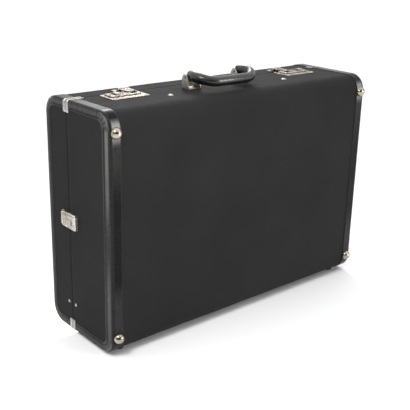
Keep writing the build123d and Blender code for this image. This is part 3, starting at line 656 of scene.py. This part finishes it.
def make_binding(side, sx):
    """Leather edge binding: over the wrap, round the end edge and onto the end panel."""
    sg = -1 if side == "base" else 1
    y_end = Y_PART + sg * GAP
    st = outline(side, y_end, n_top=22, n_front=70, n_arc=20)
    inset = 19.0 if side == "base" else 11.5
    r_in = 13.0
    oy = Y_FRONT + inset if side == "base" else Y_BACK - inset          # opening's outer y
    oyc = oy - sg * r_in
    z_hi, z_lo = Z_TOP - 14.0, Z_BOT + 14.0
    verts, uvs, wear_and_sheen = [], [], []
    n_face, n_wrap = 16, 7

    def inner(t):
        kind, f = t
        if kind == "top":
            return y_end + (oyc - y_end) * f, z_hi
        if kind == "c1":
            a = pi / 2 * f
            return oyc + sg * r_in * sin(a), z_hi - r_in + r_in * cos(a)
        if kind == "side":
            return oy, (z_hi - r_in) + ((z_lo + r_in) - (z_hi - r_in)) * f
        if kind == "c2":
            a = pi / 2 * f
            return oyc + sg * r_in * cos(a), z_lo + r_in - r_in * sin(a)
        return oyc + (y_end - oyc) * f, z_lo

    ncol = 0
    for t, y, z, ny, nz, s in st:
        kind, f = t
        corner = sin(pi * f) if kind in ("c1", "c2") else 0.0
        up_z = (z - Z_BOT) / (Z_TOP - Z_BOT)
        # Wear values on the wrap strip: low base values are wear; on the base, a bright patch up the front above the
        # stud and round the top corner (values above 1) and a pale band along the top are painted highlights.
        strip_wear_and_sheen = 0.06
        if side == "base" and kind == "side":
            strip_wear_and_sheen = 2.4 * smooth(0.87, 0.925, up_z) + 0.16 * smooth(0.62, 0.86, up_z) + 0.16 * smooth(0.34, 0.22, up_z)
        elif side == "base" and kind in ("c1", "top"):
            strip_wear_and_sheen = 2.2 * smooth(0.50, 0.86, f) if kind == "c1" else 0.03 + 0.48 * smooth(0.02, 0.35, f) * smooth(0.98, 0.62, f)
        row = []
        # Wear values on the end panel: painted highlight lines along the rounded outer edge and the inner edge, varying
        # with height on the base.
        end_wear_and_sheen = 0.30
        if kind == "side" and side == "base":
            end_wear_and_sheen = 0.50 + 0.42 * smooth(0.5, 0.9, up_z) - 0.42 * smooth(0.24, 0.0, abs(up_z - 0.47))
        for dx, off in ((-0.05, 0.1), (0.0, -0.45), (0.18, -0.82), (0.6, -1.0)):
            row.append((X_BIND - BIND_W + dx, off, 0.12))
        for k in range(1, n_wrap):
            row.append((X_BIND - BIND_W + 0.6 + (286.0 - 269.6) * k / n_wrap, -1.0, strip_wear_and_sheen))
        pts = []
        for x, off, w in row:
            pts.append((x, y - ny * off, z - nz * off, w))
        # the rounded edge takes a painted highlight, a bright arc at the corners
        for k in range(0, 9):
            a = pi / 2 * k / 8
            off = 3.0 - 4.0 * cos(a)
            pts.append((286.0 + 4.0 * sin(a), y - ny * off, z - nz * off, 0.10 + 0.25 * max(0.0, sin(a) - 0.6) + 0.9 * corner * smooth(0.72, 0.97, sin(a))))
        ex, (iy, iz) = (y - ny * 3.0, z - nz * 3.0), inner(t)
        for k in range(1, n_face + 1):
            u = k / n_face
            # pleats gathered round the corner
            pl = 0.0
            if corner:
                pl = 0.42 * corner * sin(pi * min(1, u * 1.1)) * sin(f * pi * 9 + 0.6 * sin(7 * u))
            # painted highlights: bands along the outer and inner edges of the end panel, on the pleat crests, and an
            # arc round the corners
            pts.append((290.0 + pl - 0.25 * u, ex[0] + (iy - ex[0]) * u, ex[1] + (iz - ex[1]) * u,
                        end_wear_and_sheen * (smooth(0.66, 0.48, u) * smooth(-0.1, 0.1, u) + 0.55 * smooth(0.86, 0.97, u))
                        + corner * (0.5 * max(0.0, sin(f * pi * 9 + 0.6 * sin(7 * u))) * smooth(0.8, 0.5, u)
                                    + 0.7 * smooth(0.72, 0.84, u) * smooth(0.98, 0.9, u))))
        py, pz = pts[-1][1], pts[-1][2]
        dy, dz = iy - ex[0], iz - ex[1]
        L = sqrt(dy * dy + dz * dz)
        dy, dz = dy / L, dz / L
        # a thin painted highlight along the turned inner edge
        for du, x in ((0.22, 289.45), (0.32, 288.9)):
            pts.append((x, py + dy * du, pz + dz * du, 0.6))
        ncol = len(pts)
        v_acc = 0.0
        for k, (x, yy, zz, w) in enumerate(pts):
            if k:
                v_acc += sqrt((x - pts[k - 1][0]) ** 2 + (yy - pts[k - 1][1]) ** 2 + (zz - pts[k - 1][2]) ** 2)
            d = 0.16 * nz3(x, yy, zz, 0.03) + 0.018 * nz3(x, yy, zz, 0.21)
            if k < 2 or k > ncol - 3:
                d = 0.0
            if x < 286.0:
                yy, zz = yy + ny * d, zz + nz * d
            else:
                x += min(d, 0.3)
            verts.append((sx * x, yy, zz))
            uvs.append((s * MM, v_acc * MM))
            wear_and_sheen.append(min(2.0, w))
    flip = (sx < 0) == (side == "base")
    faces = grid_faces(len(st), ncol, flip=flip)
    o = new_obj(f"{side}_leather_{'left' if sx < 0 else 'right'}", verts, faces, "binding", side, uvs, {"wear_and_sheen": wear_and_sheen})
    sol = o.modifiers.new("thick", "SOLIDIFY")
    sol.thickness, sol.offset, sol.use_even_offset = 0.0009, -1.0, False
    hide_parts(f"{side}_binding_{'left' if sx < 0 else 'right'}")
    return o


for side in ("base", "lid"):
    make_cover(side)
    make_lining(side)
    make_feet(side)
    make_clips(side)
    for sx in (-1, 1):
        make_binding(side, sx)
make_lip()

# ------------------------------------------------------------------ handle grip
HX = -12.0


def fillet_path(pts, radii, step=2.0):
    """Sampled polyline with rounded corners, points in mm."""
    pts = [Vector(p) for p in pts]
    out = [pts[0]]
    for i in range(1, len(pts) - 1):
        a, b, c = pts[i - 1], pts[i], pts[i + 1]
        d0, d1 = (a - b).normalized(), (c - b).normalized()
        ang = d0.angle(d1)
        t = radii[i - 1] / tan(ang / 2)
        p0, p1 = b + d0 * t, b + d1 * t
        cen = b + (d0 + d1).normalized() * (radii[i - 1] / sin(ang / 2))
        v0, v1 = p0 - cen, p1 - cen
        tot = v0.angle(v1)
        n = max(3, int(tot * radii[i - 1] / step))
        for k in range(n + 1):
            f = k / n
            w = (v0 * sin((1 - f) * tot) + v1 * sin(f * tot)) / sin(tot)
            out.append(cen + w)
    out.append(pts[-1])
    dense = [out[0]]
    for a, b in zip(out, out[1:]):
        L = (b - a).length
        n = max(1, int(L / step))
        for k in range(1, n + 1):
            dense.append(a.lerp(b, k / n))
    return dense


def make_grip():
    path = fillet_path([(HX - 53, 1.5, 420.9), (HX - 61.5, -25, 422.6), (HX - 43, -45.5, 417.2),
                        (HX + 43, -45.5, 417.2), (HX + 61.5, -25, 422.6), (HX + 53, 1.5, 420.9)], [20, 26, 26, 20])
    path = [p + Vector((0, -1.7 * smooth(46.0, 0.0, abs(p.x - HX)) if p.y < -40 else 0.0, 0)) for p in path]
    n, nv = len(path), 48
    total = sum((b - a).length for a, b in zip(path, path[1:]))
    verts, uvs, wear_and_sheen, s = [], [], [], 0.0
    for i, p in enumerate(path):
        if i:
            s += (p - path[i - 1]).length
        t = (path[min(i + 1, n - 1)] - path[max(i - 1, 0)]).normalized()
        side_v = t.cross(Vector((0, 0, 1))).normalized()       # towards the inside of the bow
        upv = side_v.cross(t).normalized()
        e = min(s, total - s)
        # the wrap is fuller and upright towards the ends, where it folds round the eyes
        full = smooth(46.0, 14.0, e)
        rh, rv = 8.3 - 0.3 * full, 8.35 + 1.35 * full
        tip = 1.0 - 0.12 * max(0.0, 1 - e / 2.4) ** 2
        for j in range(nv):
            a = 2 * pi * j / nv
            ridge = 0.35 * pow(max(0.0, cos(a - pi * 1.5)), 24)       # the stitched seam underneath
            # a pressed line along the outside, and the flat of the edge below it
            ridge -= 0.22 * pow(max(0.0, cos(a - radians(205))), 90) + 0.22 * pow(max(0.0, cos(a - radians(335))), 90)
            v = p + side_v * ((rh + ridge) * tip * cos(a)) + upv * ((rv + ridge) * tip * sin(a))
            verts.append(tuple(v))
            uvs.append((s * MM, 8.4 * a * MM))
            wear_and_sheen.append(0.5 if e < 4 else 0.1)
    faces = grid_faces(n, nv, flip=True, wrap_v=True)
    # closed ends, the cut edges of the leather
    for i, sgn in ((0, 1), (n - 1, -1)):
        c = path[i]
        base = len(verts)
        ring = [verts[i * nv + j] for j in range(nv)]
        t = (path[1] - path[0]).normalized() if i == 0 else (path[-1] - path[-2]).normalized()
        for f, push in ((0.88, 0.35), (0.62, -0.5)):
            for q in ring:
                v = c + (Vector(q) - c) * f - t * push * sgn
                verts.append(tuple(v))
                uvs.append((0, 0))
                wear_and_sheen.append(0.4)
        for k in range(2):
            r0 = i * nv if k == 0 else base
            r1 = base + k * nv
            for j in range(nv):
                a, b = r0 + j, r0 + (j + 1) % nv
                c2, d = r1 + j, r1 + (j + 1) % nv
                faces.append((a, b, d, c2) if sgn < 0 else (b, a, c2, d))
        faces.append(tuple(base + nv + j for j in (range(nv) if sgn < 0 else reversed(range(nv)))))
    o = new_obj("grip_leather_wrap", verts, faces, ["grip", "grip_end"], "handle", uvs, {"wear_and_sheen": wear_and_sheen})
    nf = (n - 1) * nv
    for k, p in enumerate(o.data.polygons):
        if k >= nf:
            p.material_index = 1
    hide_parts("handle_grip")
    return o


make_grip()
